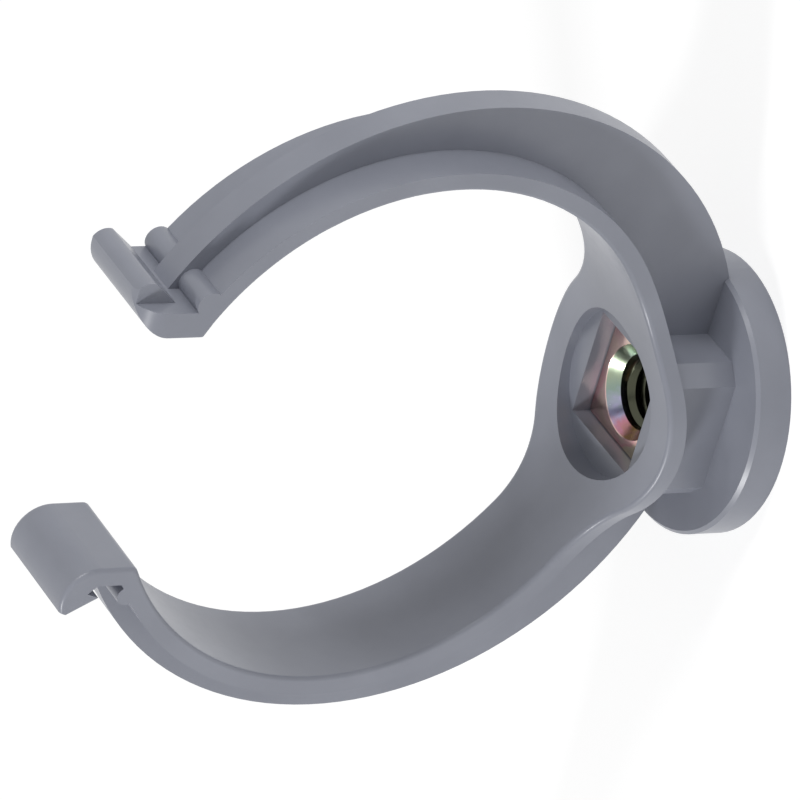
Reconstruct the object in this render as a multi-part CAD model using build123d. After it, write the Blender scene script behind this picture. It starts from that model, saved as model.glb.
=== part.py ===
"""One-piece moulded plastic pipe clip on a round wall base, with a captive M8 square nut.

Frame, in millimetres: the origin is the centre of the base's back face, +Z points out of
the wall along the stud, +Y runs along the pipe, and +X points to the arm with the nosed tip.
The clip is drawn open, as it comes out of its mould.
"""
import os
from dataclasses import dataclass
from math import cos, radians, sin, sqrt, tan

from build123d import *

# Base disc
base_radius = 16.05
base_height = 4.4
base_edge_cut = 0.4

# Band that wraps the pipe
band_width = 13.4
band_thickness = 2.2
seat_height = 13.96          # wall face to the lowest point of the pipe's seat
seat_radius = 32.0           # flatter bottom of the seat, under the pipe
eye_radius = 13.8            # where the band widens round the nut

# Boss between base and band
boss_length = 17.3           # along X
boss_width = 19.0            # along Y
boss_corner_cut = 2.0        # flat across each upright corner
pad_wall = 1.6               # plastic round the access hole, where the band curves up from it

# Nut and its pocket
tapping_diameter = 6.8       # M8 thread
nut_across_flats = 13.0
nut_thickness = 6.5
nut_chamfer_diameter = 17.7  # where the corner chamfer meets the nut's face
nut_chamfer_angle = 30.0
countersink_diameter = 10.8
countersink_depth = 1.35
throat_diameter = 8.6        # foot of the countersink, where the thread starts to run in
pocket_clearance = 0.05      # each side of the nut
pocket_floor = 4.25          # wall face to the nut's underside
ledge_height = 12.85         # wall face to the ledge round the pocket
ledge_floor = 1.0            # plastic left under the ledge
access_hole_radius = 9.6
stud_hole_diameter = 8.8     # clearance for the stud, through the base

# Central web along the back of both arms
web_thickness = 3.6

# Rounding of the seat's edges, so that they don't mark the pipe
edge_round = 0.5

# Tips of the arms
bead_radius = 1.55           # stop bead at the foot of the nosed tip
small_bead_radius = 1.15     # stop bead under the hooked tip
tip_radius = 4.05            # outer rounding of both tips
tip_round_height = 76.4      # centre of that rounding above the wall face
nose_wall = 3.05             # wall of the nosed tip, from mating face to valley
nose_reach = 5.4             # from mating face to the nose's tip
nose_round = 0.9
nose_height = 2.15           # its rounded end, from the crown down to the slope
nose_slope_drop = 2.9        # from the rounded end down to the valley
nose_front_setback = 2.2     # the nose stops short of the front edge
nose_corner_round = 3.5      # front corner of the nosed tip, seen square on
hook_wall = 2.05             # wall of the hooked tip
hook_reach = 5.6             # from mating face to the hook's free edge
hook_edge_drop = 0.95        # from the crown down to the free edge
hook_point_reach = 3.55      # from mating face to the hook's point
hook_point_drop = 4.4        # from the crown down to the point
hook_slot_drop = 2.95        # from the crown down to the top of the slot behind the point
hook_slot_width = 1.0
hook_corner_round = 0.9      # where the seat runs into the mating face

# Arm with the nosed tip
nosed_seat_radius = 30.3
nosed_flare_radius = 20.5    # reverse curve where the band widens to the eye
nosed_web_radius = 39.57
nosed_web_offset = -0.92     # centre of the web's edge, out along the arm's side
nosed_web_height = 39.68
nosed_mating_face = 13.8     # distance out of the tip's mating face
nosed_blend_angle = 35.0     # where the arm's seat takes over from the bottom of the ring

# Arm with the hooked tip
hooked_seat_radius = 30.65
hooked_flare_radius = 14.0
hooked_web_radius = 38.5
hooked_web_offset = 0.48
hooked_web_height = 41.03
hooked_mating_face = 15.85
hooked_blend_angle = 58.0


@dataclass
class Arm:
    """Shape of one arm, drawn towards +X; side -1 turns it round to -X."""

    side: int
    seat_radius: float
    blend_angle: float
    flare_radius: float
    web_radius: float
    web_centre: tuple
    mating_face: float
    tip_wall: float


nosed_arm = Arm(1, nosed_seat_radius, nosed_blend_angle, nosed_flare_radius, nosed_web_radius,
                (nosed_web_offset, nosed_web_height), nosed_mating_face, nose_wall)
hooked_arm = Arm(-1, hooked_seat_radius, hooked_blend_angle, hooked_flare_radius, hooked_web_radius,
                 (hooked_web_offset, hooked_web_height), hooked_mating_face, hook_wall)

ring_centre = (0, seat_height + seat_radius)
top_of_clip = tip_round_height + tip_radius
cut_margin = 10.0            # cutters reach this far past the clip
cut_size = 4 * seat_radius   # cutters wider than the whole clip
match = 0.001                # how closely an edge's place and radius are recognised
hook_start_angle = 160.0     # where the hook's outer rounding ends, from straight down
corner_angle = 225.0         # middle of a tip's quarter rounding, from straight down
most_round = 0.33            # largest rounding, as a share of the wall that it is on


def on_circle(centre, radius, angle):
    """Point of a circle at an angle from straight down, opening towards +X."""
    return (centre[0] + radius * sin(radians(angle)), centre[1] - radius * cos(radians(angle)))


def arm_centre(arm):
    """Centre of the arm's seat, tangent to the bottom of the ring."""
    return on_circle(ring_centre, seat_radius - arm.seat_radius, arm.blend_angle)


def height_on_arm(arm, swell, distance_out):
    """Height of the upper half of the arm's seat, grown by swell, at a distance out."""
    centre = arm_centre(arm)
    return centre[1] + sqrt((arm.seat_radius + swell) ** 2 - (distance_out - centre[0]) ** 2)


def room_section(arm, swell):
    """Space inside one arm as far as the middle plane, grown outwards by swell."""
    bottom_radius = seat_radius + swell
    radius = arm.seat_radius + swell
    centre = arm_centre(arm)
    start = on_circle(ring_centre, bottom_radius, 0)
    middle = on_circle(ring_centre, bottom_radius, arm.blend_angle / 2)
    blend = on_circle(ring_centre, bottom_radius, arm.blend_angle)
    end = (0, height_on_arm(arm, swell, 0))
    bottom = ThreePointArc(start, middle, blend)
    flank = ThreePointArc(blend, on_circle(centre, radius, (arm.blend_angle + 180) / 2), end)
    return make_face([bottom, flank, Line(end, start)])


def web_section(arm):
    """Half disc inside the outer edge of the web."""
    x, height = arm.web_centre
    reach = sqrt(arm.web_radius ** 2 - x ** 2)
    edge = ThreePointArc((0, height - reach), (x + arm.web_radius, height), (0, height + reach))
    return make_face([edge, Line((0, height + reach), (0, height - reach))])


def mouth_section(arm, inset):
    """Everything above the middle of the ring, out to an inset behind the mating face."""
    low = ring_centre[1]
    high = top_of_clip + cut_margin
    width = arm.mating_face + inset
    return Pos(width / 2, (low + high) / 2) * Rectangle(width, high - low)


def upper_section():
    """Everything above the middle of the ring on the arm's side."""
    return Pos(cut_size / 2, ring_centre[1] + cut_size / 2) * Rectangle(cut_size, cut_size)


def band_section(arm):
    """Band of one arm, seen along the pipe, as far as its mating face."""
    return room_section(arm, band_thickness) - room_section(arm, 0) - mouth_section(arm, 0)


def nosed_tip_section(arm):
    """Upright tip with a nose that overhangs a valley."""
    face = arm.mating_face
    wall = face + arm.tip_wall
    nose_end = face + nose_reach
    nose_foot = top_of_clip - nose_height
    crown = (face + tip_radius, top_of_clip)
    rounding = ThreePointArc((face, tip_round_height),
                             on_circle((face + tip_radius, tip_round_height), tip_radius, corner_angle),
                             crown)
    brow = Line(crown, (nose_end - nose_round, top_of_clip))
    end = ThreePointArc((nose_end - nose_round, top_of_clip),
                        (nose_end, top_of_clip - nose_height / 2),
                        (nose_end, nose_foot))
    rest = Polyline((nose_end, nose_foot), (wall, nose_foot - nose_slope_drop),
                    (wall, height_on_arm(arm, band_thickness / 2, wall)),
                    (face, height_on_arm(arm, 0, face)), (face, tip_round_height))
    return make_face([rounding, brow, end, *rest.edges()])


def hooked_tip_section(arm):
    """Upright tip that turns over into a hook with a slot behind its point."""
    face = arm.mating_face
    wall = face + arm.tip_wall
    slot_top = top_of_clip - hook_slot_drop
    centre = (face + tip_radius, tip_round_height)
    crown = (face + tip_radius, top_of_clip)
    start = on_circle(centre, tip_radius, hook_start_angle)
    rounding = ThreePointArc((face, tip_round_height),
                             on_circle(centre, tip_radius, corner_angle), crown)
    over = ThreePointArc(crown, on_circle(centre, tip_radius, (180 + hook_start_angle) / 2), start)
    rest = Polyline(start, (face + hook_reach, top_of_clip - hook_edge_drop),
                    (face + hook_point_reach, top_of_clip - hook_point_drop),
                    (wall + hook_slot_width, slot_top), (wall, slot_top - hook_slot_width),
                    (wall, height_on_arm(arm, band_thickness / 2, wall)),
                    (face, height_on_arm(arm, 0, face)), (face, tip_round_height))
    return make_face([rounding, over, *rest.edges()])


def bead_section(arm, radius, distance_out):
    """Round stop bead half sunk into the band's outer face."""
    return Pos(distance_out, height_on_arm(arm, band_thickness, distance_out)) * Circle(radius)


def along_pipe(section, arm, width):
    """Section turned upright, extruded evenly to both sides and put on the arm's side."""
    solid = extrude(Plane.XZ * section, amount=width / 2, both=True)
    return solid if arm.side > 0 else mirror(solid, about=Plane.YZ)


def band_outline():
    """Band seen along the stud: a strip that widens by reverse curves to the round eye."""
    length = 2 * (seat_radius + band_thickness + cut_margin)
    outline = Rectangle(length, band_width) + Circle(eye_radius)
    for arm in (nosed_arm, hooked_arm):
        necks = [v for v in outline.vertices() if 0 < arm.side * v.X < eye_radius]
        outline = fillet(necks, arm.flare_radius)
    return outline


def make_lower_band():
    """Lower half of the band, wide enough under the pipe to carry the eye."""
    band = Part()
    low = Pos(0, 0, ring_centre[1] / 2) * Box(cut_size, cut_size, ring_centre[1])
    for arm in (nosed_arm, hooked_arm):
        band += along_pipe(band_section(arm), arm, 2 * eye_radius) & low
    return band & extrude(band_outline(), amount=top_of_clip)


def make_web():
    """Central web that tapers from the base to both tips and dies into their walls."""
    web = Part()
    for arm in (nosed_arm, hooked_arm):
        section = web_section(arm) - room_section(arm, band_thickness / 2)
        web += along_pipe(section - mouth_section(arm, arm.tip_wall / 2), arm, web_thickness)
    wall = Pos(0, 0, -cut_size / 2) * Box(cut_size, cut_size, cut_size)
    return web - wall


def make_nosed_end():
    """Upper half of the nosed arm: band, stop bead and tip with one rounded corner."""
    arm = nosed_arm
    wall = arm.mating_face + arm.tip_wall
    bead = bead_section(arm, bead_radius, wall + nose_round)
    section = (band_section(arm) & upper_section()) + nosed_tip_section(arm) + bead
    end = along_pipe(section, arm, band_width)
    height = top_of_clip - ring_centre[1]
    window = Pos(0, ring_centre[1] + height / 2) * Rectangle(band_width, height)
    corner = window.vertices().group_by(Axis.Y)[-1].sort_by(Axis.X)[0]
    end &= extrude(Plane.YZ * fillet(corner, nose_corner_round), amount=cut_size)
    valley = top_of_clip - nose_height - nose_slope_drop
    front = Box(cut_size, nose_front_setback, cut_size, align=Align.MIN)
    return end - Pos(wall, -band_width / 2, valley) * front


def make_hooked_end():
    """Upper half of the hooked arm: band, small stop bead and hooked tip."""
    arm = hooked_arm
    bead = bead_section(arm, small_bead_radius, arm.mating_face + hook_point_reach)
    section = (band_section(arm) & upper_section()) + hooked_tip_section(arm) + bead
    face = arm.mating_face
    heel = section.vertices().sort_by_distance((face, height_on_arm(arm, 0, face), 0))[0]
    return along_pipe(fillet(heel, hook_corner_round), arm, band_width)


def make_base():
    """Round wall base with its front rim broken."""
    disc = extrude(Circle(base_radius), amount=base_height)
    return chamfer(disc.edges().group_by(Axis.Z)[-1], base_edge_cut)


def make_boss():
    """Block that carries the band on the base, with a pad under the eye."""
    height = ring_centre[1]
    outline = Rectangle(boss_length, boss_width)
    block = extrude(chamfer(outline.vertices(), boss_corner_cut), amount=height)
    pad = extrude(Circle(access_hole_radius + pad_wall), amount=height)
    boss = block + Pos(0, 0, ledge_height - ledge_floor) * pad
    for arm in (nosed_arm, hooked_arm):
        boss -= along_pipe(room_section(arm, band_thickness / 2), arm, cut_size)
    return boss


def make_stud_space():
    """Stud hole, nut pocket and access recess, all along the stud."""
    height = ring_centre[1]
    pocket_width = nut_across_flats + 2 * pocket_clearance
    space = extrude(Circle(stud_hole_diameter / 2), amount=height)
    space += Pos(0, 0, pocket_floor) * extrude(Rectangle(pocket_width, pocket_width), amount=height)
    return space + Pos(0, 0, ledge_height) * extrude(Circle(access_hole_radius), amount=height)


def round_seat(clip):
    """Rounded edges all along the seat, from tip to tip and round the widened eye."""
    radii = [seat_radius, nosed_arm.seat_radius, hooked_arm.seat_radius]
    edges = clip.edges().filter_by(GeomType.CIRCLE)
    edges = edges.filter_by(lambda e: abs(abs(e.center().Y) - band_width / 2) < match)
    edges = edges.filter_by(lambda e: any(abs(e.radius - r) < match for r in radii))
    return fillet(edges, min(edge_round, band_thickness * most_round))


def make_clip_body():
    """The whole moulding."""
    clip = make_base() + make_boss() + make_web() + make_lower_band()
    clip += make_nosed_end() + make_hooked_end()
    return round_seat(clip - make_stud_space())


def make_square_nut():
    """Square nut with its corners chamfered and its thread countersunk on the upper face."""
    top = pocket_floor + nut_thickness
    block = extrude(Rectangle(nut_across_flats, nut_across_flats), amount=nut_thickness)
    nut = Pos(0, 0, pocket_floor) * block
    slope = tan(radians(nut_chamfer_angle))
    reach = nut_across_flats
    low = top - (reach - nut_chamfer_diameter / 2) * slope
    cone = make_face(Polyline((0, 0), (reach, 0), (reach, low), (nut_chamfer_diameter / 2, top),
                              (0, top), (0, 0)))
    nut &= revolve(Plane.XZ * cone, Axis.Z)
    nut -= extrude(Circle(tapping_diameter / 2), amount=top)
    sink = Cone(throat_diameter / 2, countersink_diameter / 2, countersink_depth)
    run_in = (throat_diameter - tapping_diameter) / 2
    throat = Cone(tapping_diameter / 2, throat_diameter / 2, run_in)
    nut -= Pos(0, 0, top - countersink_depth / 2) * sink
    return nut - Pos(0, 0, top - countersink_depth - run_in / 2) * throat


os.makedirs("parts", exist_ok=True)
export_step(make_clip_body(), "parts/clip_body.step")
export_step(make_square_nut(), "parts/square_nut.step")
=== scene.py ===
"""Snap pipe clip, open as it leaves its mould, with a square nut held in its boss."""
import math

import bmesh
import bpy
from mathutils import Matrix, Vector


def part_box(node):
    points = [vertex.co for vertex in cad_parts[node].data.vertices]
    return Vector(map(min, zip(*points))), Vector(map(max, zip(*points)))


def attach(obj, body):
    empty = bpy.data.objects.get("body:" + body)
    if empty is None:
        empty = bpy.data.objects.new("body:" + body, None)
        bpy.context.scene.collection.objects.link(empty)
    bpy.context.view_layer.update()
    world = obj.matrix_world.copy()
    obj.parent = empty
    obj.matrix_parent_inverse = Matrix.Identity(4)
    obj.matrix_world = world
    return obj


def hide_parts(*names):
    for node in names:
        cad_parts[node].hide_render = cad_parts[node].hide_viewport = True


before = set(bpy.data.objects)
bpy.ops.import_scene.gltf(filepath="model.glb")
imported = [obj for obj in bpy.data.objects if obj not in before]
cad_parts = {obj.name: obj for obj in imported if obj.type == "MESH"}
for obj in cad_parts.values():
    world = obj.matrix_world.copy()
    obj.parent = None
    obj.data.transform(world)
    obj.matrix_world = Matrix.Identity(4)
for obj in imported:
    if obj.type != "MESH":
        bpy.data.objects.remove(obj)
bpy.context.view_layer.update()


# Clip body: one injection moulding in grey PVC-like plastic, with a ribbed spring arm each side.
# The tool's polished steel leaves it smooth and semi-gloss, and the rounded edges of its seat and
# the cut rim of its base catch thin lines of light.
def linear(code):
    """Colour of an sRGB hex code as the linear values that the shaders take."""
    parts = [int(code[i:i + 2], 16) / 255 for i in (0, 2, 4)]
    return [c / 12.92 if c <= 0.04045 else ((c + 0.055) / 1.055) ** 2.4 for c in parts] + [1.0]


def new_material(name):
    """Empty node material, and its tree with the output and the main shader joined."""
    material = bpy.data.materials.new(name)
    material.use_nodes = True
    tree = material.node_tree
    tree.nodes.clear()
    output = tree.nodes.new("ShaderNodeOutputMaterial")
    shader = tree.nodes.new("ShaderNodeBsdfPrincipled")
    tree.links.new(shader.outputs["BSDF"], output.inputs["Surface"])
    return material, tree, shader


def add(tree, kind, links=None, stops=(), **settings):
    """Node of a kind with its settings; links maps its inputs to values or to other outputs.

    A colour ramp's stops are pairs of a position and a linear colour.
    """
    node = tree.nodes.new(kind)
    for key, value in settings.items():
        setattr(node, key, value)
    for socket, value in (links or {}).items():
        if isinstance(value, bpy.types.NodeSocket):
            tree.links.new(value, node.inputs[socket])
        else:
            node.inputs[socket].default_value = value
    if stops:
        marks = node.color_ramp.elements
        while len(marks) < len(stops):
            marks.new(0.5)
        for mark, (position, colour) in zip(marks, stops):
            mark.position = position
            mark.color = colour
    return node


# Moulded PVC: even colour with a faint flow mottle, and a fine ripple that softens highlights.
flow_size = 0.009             # broad mottle of the melt
ripple_size = 0.0011          # polish marks of the tool, drawn coarse enough to show
ripple_height = 0.00003
pvc_ior = 1.53
grey_plastic, tree, shader = new_material("moulded_grey_pvc_semi_gloss")
place = add(tree, "ShaderNodeTexCoord").outputs["Object"]
flow = add(tree, "ShaderNodeTexNoise", {"Vector": place, "Scale": 1 / flow_size, "Detail": 3.0})
tint = add(tree, "ShaderNodeValToRGB", {"Fac": flow.outputs["Fac"]},
           stops=((0.35, linear("888B96")), (0.65, linear("8E919C"))))
tree.links.new(tint.outputs["Color"], shader.inputs["Base Color"])
ripple = add(tree, "ShaderNodeTexNoise", {"Vector": place, "Scale": 1 / ripple_size, "Detail": 2.0})
gloss = add(tree, "ShaderNodeMapRange", {"Value": ripple.outputs["Fac"],
                                         "To Min": 0.29, "To Max": 0.37})
tree.links.new(gloss.outputs["Result"], shader.inputs["Roughness"])
bump = add(tree, "ShaderNodeBump", {"Height": ripple.outputs["Fac"], "Strength": 0.08,
                                    "Distance": ripple_height})
tree.links.new(bump.outputs["Normal"], shader.inputs["Normal"])
shader.inputs["IOR"].default_value = pvc_ior
clip_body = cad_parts["clip_body"]
clip_body.data.materials.clear()
clip_body.data.materials.append(grey_plastic)


# Square nut: pressed and tapped steel, zinc plated, then passivated. Its corners are lightly
# chamfered and the thread is countersunk. It is pressed into the boss's pocket, where it can't
# turn, and the stud screws into it from the wall side.
nut_low, nut_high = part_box("square_nut")
nut_foot = nut_low[2]
nut_top = nut_high[2]
nut_half = nut_high[0]
nut_corner_reach = 0.00885    # from the middle to where the corner's chamfer starts
nut_corner_slope = math.radians(30)
nut_edge_round = 0.00015
countersink_radius = 0.0054
throat_radius = 0.0043
throat_height = nut_top - 0.00135
throat_foot_radius = 0.0042   # upright wall below the countersink, down to the thread
throat_foot_height = throat_height - 0.0008
thread_pitch = 0.00125        # M8 coarse thread
thread_crest = 0.0034
thread_root = 0.0040
thread_profile = ((0.0, thread_root), (0.12, thread_root), (0.44, thread_crest),
                  (0.68, thread_crest))   # share of the pitch, radius
run_in = 0.00025              # height over which the thread runs in at its two ends
steps_round = 96
sharp_angle = math.radians(32)
same_height = 1e-7            # tolerances
on_plane = 1e-8
weld = 1e-6


def rim(mesh, radius, height):
    """Edges of a circle round the stud's axis."""
    ring = bmesh.ops.create_circle(mesh, segments=steps_round, radius=radius,
                                   matrix=Matrix.Translation((0, 0, height)))
    return list(dict.fromkeys(edge for vert in ring["verts"] for edge in vert.link_edges))


def open_rim(mesh, height):
    """Open edges of the mesh that lie at a height."""
    return [e for e in mesh.edges if len(e.link_faces) == 1
            and all(abs(v.co.z - height) < same_height for v in e.verts)]


def cut(mesh, place, normal):
    """Cuts away what lies beyond a plane, and returns the edges of the cut."""
    parts = bmesh.ops.bisect_plane(mesh, geom=mesh.verts[:] + mesh.edges[:] + mesh.faces[:],
                                   dist=on_plane, plane_co=place, plane_no=normal, clear_outer=True)
    return [part for part in parts["geom_cut"] if isinstance(part, bmesh.types.BMEdge)]


# The thread: a zigzag a turn longer than the nut at each end, turned once round while it climbs
# by one pitch. Its end then lies on its start one turn up, so the two are welded afterwards and
# not merged by the spin.
mesh = bmesh.new()
turns = math.ceil((nut_top - nut_foot) / thread_pitch) + 2
zigzag = []
for turn_number in range(turns):
    low = nut_foot + (turn_number - 1) * thread_pitch
    for share, radius in thread_profile:
        zigzag.append(mesh.verts.new((radius, 0, low + share * thread_pitch)))
line = [mesh.edges.new(pair) for pair in zip(zigzag, zigzag[1:])]
bmesh.ops.spin(mesh, geom=zigzag + line, cent=(0, 0, 0), axis=(0, 0, 1), steps=steps_round,
               angle=2 * math.pi, dvec=(0, 0, thread_pitch / steps_round))
bmesh.ops.remove_doubles(mesh, verts=mesh.verts, dist=weld)
upper_cut = cut(mesh, (0, 0, throat_foot_height - run_in), (0, 0, 1))
lower_cut = cut(mesh, (0, 0, nut_foot + run_in), (0, 0, -1))
throat_foot = rim(mesh, throat_foot_radius, throat_foot_height)
throat = rim(mesh, throat_radius, throat_height)
foot = rim(mesh, thread_root, nut_foot)
bmesh.ops.bridge_loops(mesh, edges=upper_cut + throat_foot)
bmesh.ops.bridge_loops(mesh, edges=throat_foot + throat)
bmesh.ops.bridge_loops(mesh, edges=lower_cut + foot)
mouth = rim(mesh, countersink_radius, nut_top)
bmesh.ops.bridge_loops(mesh, edges=throat + mouth)

# The block round it: a cube cut across its corners, with its edges rounded.
block = bmesh.new()
bmesh.ops.create_cube(block, size=1.0)
bmesh.ops.scale(block, verts=block.verts, vec=(2 * nut_half, 2 * nut_half, nut_top - nut_foot))
bmesh.ops.translate(block, verts=block.verts, vec=(0, 0, (nut_top + nut_foot) / 2))
for quarter in range(4):
    angle = math.radians(45 + 90 * quarter)
    out = Vector((math.cos(angle), math.sin(angle), 0))
    normal = out * math.sin(nut_corner_slope) + Vector((0, 0, math.cos(nut_corner_slope)))
    edges = cut(block, out * nut_corner_reach + Vector((0, 0, nut_top)), normal)
    bmesh.ops.contextual_create(block, geom=edges)
bmesh.ops.bevel(block, geom=block.edges[:], offset=nut_edge_round, offset_type="OFFSET",
                affect="EDGES", segments=2, profile=0.5, material=-1)
for height in (nut_foot, nut_top):
    flat = [f for f in block.faces if all(abs(v.co.z - height) < same_height for v in f.verts)]
    bmesh.ops.delete(block, geom=[max(flat, key=lambda f: f.calc_area())], context="FACES_ONLY")
block_data = bpy.data.meshes.new("nut_block")
block.to_mesh(block_data)
block.free()
mesh.from_mesh(block_data)
bpy.data.meshes.remove(block_data)
for height in (nut_foot, nut_top):
    bmesh.ops.triangle_fill(mesh, edges=open_rim(mesh, height), use_beauty=True)
bmesh.ops.recalc_face_normals(mesh, faces=mesh.faces)
data = bpy.data.meshes.new("threaded_square_nut")
mesh.to_mesh(data)
mesh.free()
data.shade_smooth()
data.set_sharp_from_angle(angle=sharp_angle)
nut = bpy.data.objects.new("threaded_square_nut", data)
bpy.context.scene.collection.objects.link(nut)

# Yellow passivated zinc: a thin film over bright metal. It drained while it dried, so the cone of
# the countersink goes from pale green through lilac to rose, and the flat faces stayed rosy.
film_size = 0.0042            # blotches of the film
uphill = (0.71, 0.71, 0.0)    # the side that the film drained from
thinnest_at = 0.0035          # distances from the axis towards that side
thickest_at = -0.0045
grain_size = 0.0006           # pickled grain under the plating, drawn coarse enough to show
grain_height = 0.00002
flat_from = nut_top - 0.00012
zinc, tree, shader = new_material("yellow_passivated_zinc_plated_steel")
place = add(tree, "ShaderNodeTexCoord").outputs["Object"]
film = add(tree, "ShaderNodeTexNoise", {"Vector": place, "Scale": 1 / film_size, "Detail": 3.0,
                                        "Distortion": 0.6})
along_drain = add(tree, "ShaderNodeVectorMath", {0: place, 1: uphill},
                  operation="DOT_PRODUCT")
drained = add(tree, "ShaderNodeMapRange", {"Value": along_drain.outputs["Value"],
                                           "From Min": thinnest_at, "From Max": thickest_at,
                                           "To Min": -0.30, "To Max": 0.42})
thickness = add(tree, "ShaderNodeMath", {0: film.outputs["Fac"], 1: drained.outputs["Result"]},
                operation="ADD")
cone_hue = add(tree, "ShaderNodeValToRGB", {"Fac": thickness.outputs["Value"]},
               stops=((0.20, linear("96A28C")), (0.42, linear("87998F")), (0.60, linear("A5A1BE")),
                      (0.74, linear("B37A88")), (0.92, linear("AC875C"))))
flat_hue = add(tree, "ShaderNodeValToRGB", {"Fac": film.outputs["Fac"]},
               stops=((0.36, linear("DEC6B8")), (0.47, linear("DFC0BA")),
                      (0.56, linear("E0ACAF")), (0.66, linear("D6CAB2"))))
along_axis = add(tree, "ShaderNodeSeparateXYZ", {"Vector": place})
on_flat = add(tree, "ShaderNodeMapRange", {"Value": along_axis.outputs["Z"],
                                           "From Min": flat_from, "From Max": nut_top})
hue = add(tree, "ShaderNodeMixRGB", {"Fac": on_flat.outputs["Result"],
                                     "Color1": cone_hue.outputs["Color"],
                                     "Color2": flat_hue.outputs["Color"]})
# Inside the thread the colour is painted dark: painted shade of the deep bore, where little light
# reaches.
outward = add(tree, "ShaderNodeVectorMath", {0: place, 1: (1.0, 1.0, 0.0)}, operation="MULTIPLY")
from_axis = add(tree, "ShaderNodeVectorMath", {0: outward.outputs["Vector"]},
                operation="LENGTH")
painted_bore_shade = add(tree, "ShaderNodeMapRange", {"Value": from_axis.outputs["Value"],
                                             "From Min": throat_radius,
                                             "From Max": throat_foot_radius})
# Mixes the painted shade of the bore into the film's colour, below the countersink's wall.
plated = add(tree, "ShaderNodeMixRGB", {"Fac": painted_bore_shade.outputs["Result"],
                                        "Color1": hue.outputs["Color"],
                                        "Color2": linear("4B4D40")})
tree.links.new(plated.outputs["Color"], shader.inputs["Base Color"])
grain = add(tree, "ShaderNodeTexNoise", {"Vector": place, "Scale": 1 / grain_size, "Detail": 2.0})
rough = add(tree, "ShaderNodeMapRange", {"Value": grain.outputs["Fac"], "To Min": 0.16,
                                         "To Max": 0.30})
tree.links.new(rough.outputs["Result"], shader.inputs["Roughness"])
bump = add(tree, "ShaderNodeBump", {"Height": grain.outputs["Fac"], "Strength": 0.15,
                                    "Distance": grain_height})
tree.links.new(bump.outputs["Normal"], shader.inputs["Normal"])
shader.inputs["Metallic"].default_value = 1.0
data.materials.append(zinc)
square_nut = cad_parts["square_nut"]
square_nut.data.materials.clear()
square_nut.data.materials.append(zinc)
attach(nut, "root")
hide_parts("square_nut")


# Floor: a sweep of matt white paper, rolled out under the clip and on behind it, so that it has no
# edge in view.
floor_size = 4.0
mesh = bmesh.new()
bmesh.ops.create_grid(mesh, x_segments=1, y_segments=1, size=floor_size / 2)
data = bpy.data.meshes.new("studio_floor")
mesh.to_mesh(data)
mesh.free()
floor = bpy.data.objects.new("studio_floor", data)
bpy.context.scene.collection.objects.link(floor)
white_paper, tree, shader = new_material("matt_white_paper_sweep")
shader.inputs["Base Color"].default_value = linear("F2F2F2")
shader.inputs["Roughness"].default_value = 0.9
# Looked at directly, or seen in the metal, it is lifted to white and keeps its shadows. Under the
# base, where the clip keeps all light out, it isn't lifted. Far off, where the boxes' light fades,
# it is lifted more.
lifted_level = 0.74
extra_far_lift = 0.13
fade_starts = 0.15
fade_ends = 0.90
base_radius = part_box("clip_body")[1][1]
contact_width = 0.0006        # the shadow's soft edge under its rim


def looked_at(tree):
    """1 for the camera and for what shows in a reflection or through glass, 0 for stray light."""
    ray = add(tree, "ShaderNodeLightPath")
    either = add(tree, "ShaderNodeMath", {0: ray.outputs["Is Camera Ray"],
                                          1: ray.outputs["Is Glossy Ray"]}, operation="MAXIMUM")
    both = add(tree, "ShaderNodeMath", {0: either.outputs["Value"],
                                        1: ray.outputs["Is Transmission Ray"]}, operation="MAXIMUM")
    return both.outputs["Value"]


from_stud = add(tree, "ShaderNodeVectorMath",
                {0: add(tree, "ShaderNodeTexCoord").outputs["Object"]}, operation="LENGTH")
uncovered = add(tree, "ShaderNodeMapRange", {"Value": from_stud.outputs["Value"],
                                             "From Min": base_radius - contact_width,
                                             "From Max": base_radius, "To Max": lifted_level})
far_off = add(tree, "ShaderNodeMapRange", {"Value": from_stud.outputs["Value"],
                                           "From Min": fade_starts, "From Max": fade_ends,
                                           "To Max": extra_far_lift})
lift = add(tree, "ShaderNodeMath", {0: uncovered.outputs["Result"], 1: far_off.outputs["Result"]},
           operation="ADD")
paper_light = add(tree, "ShaderNodeEmission", {"Color": linear("FFFFFF"),
                                               "Strength": lift.outputs["Value"]})
paper_shade = add(tree, "ShaderNodeBsdfDiffuse", {"Color": linear("A6A6A6")})
lifted = add(tree, "ShaderNodeAddShader", {0: paper_light.outputs["Emission"],
                                           1: paper_shade.outputs["BSDF"]})
paper = add(tree, "ShaderNodeMixShader", {0: looked_at(tree), 1: shader.outputs["BSDF"],
                                          2: lifted.outputs["Shader"]})
output = next(n for n in tree.nodes if n.type == "OUTPUT_MATERIAL")
tree.links.new(paper.outputs["Shader"], output.inputs["Surface"])
data.materials.append(white_paper)

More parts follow.
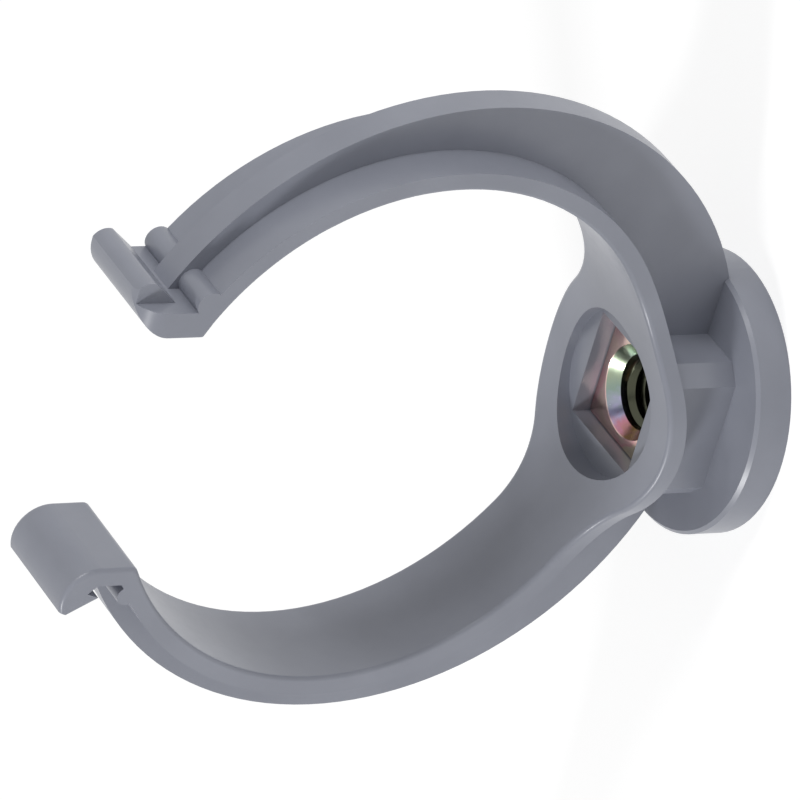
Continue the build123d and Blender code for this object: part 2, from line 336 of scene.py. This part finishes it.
# Studio: white walls all round, which give the clip an even soft light. Looked at directly, or
# seen in the metal, they are plain white.
room_level = 0.36
world = bpy.data.worlds.new("studio")
bpy.context.scene.world = world
world.use_nodes = True
tree = world.node_tree
tree.nodes.clear()
around = add(tree, "ShaderNodeBackground", {"Color": linear("FFFFFF"), "Strength": room_level})
beyond = add(tree, "ShaderNodeBackground", {"Color": linear("FFFFFF"), "Strength": 1.0})
sky = add(tree, "ShaderNodeMixShader", {0: looked_at(tree), 1: around.outputs["Background"],
                                        2: beyond.outputs["Background"]})
add(tree, "ShaderNodeOutputWorld", {"Surface": sky.outputs["Shader"]})

# Camera: a long lens on a stand, from above and in front. It is rolled a quarter turn, so that the
# stud's axis runs from side to side.
camera_right = Vector((0.25266, -0.44249, -0.86045))
camera_up = Vector((0.83802, 0.54459, -0.03398))
camera_back = Vector((0.48362, -0.71248, 0.50841))
camera_place = Vector((0.4432, -0.6526, 0.5063))
lens_data = bpy.data.cameras.new("long_lens")
lens_data.sensor_width = 36.0
lens_data.lens = 377.37
camera = bpy.data.objects.new("long_lens", lens_data)
bpy.context.scene.collection.objects.link(camera)
turn = Matrix((camera_right, camera_up, camera_back)).transposed()
camera.matrix_world = Matrix.Translation(camera_place) @ turn.to_4x4()
bpy.context.scene.camera = camera


# Lamps: three small soft boxes on stands, at one distance. The key stands in front on the hooked
# arm's side, the side box on the nosed arm's side, and the rim box above it lines the base's rim.
def soft_box(name, azimuth, elevation, width, power):
    """Square soft light at a bearing from the clip, aimed at its middle."""
    turn = math.radians(azimuth)
    rise = math.radians(elevation)
    out = Vector((math.cos(rise) * math.cos(turn), math.cos(rise) * math.sin(turn), math.sin(rise)))
    light = bpy.data.lights.new(name, "AREA")
    light.shape = "SQUARE"
    light.size = width
    light.energy = power
    box = bpy.data.objects.new(name, light)
    bpy.context.scene.collection.objects.link(box)
    box.rotation_euler = out.to_track_quat("Z", "Y").to_euler()
    box.location = clip_middle + out * light_distance


clip_middle = Vector((0, 0, 0.040))
light_distance = 0.80
soft_box("key_soft_box", azimuth=-139, elevation=34, width=0.13, power=2.9)
soft_box("side_soft_box", azimuth=0, elevation=28, width=0.16, power=1.7)
soft_box("rim_soft_box", azimuth=3, elevation=42, width=0.08, power=0.6)
bpy.context.scene.view_settings.view_transform = "Standard"
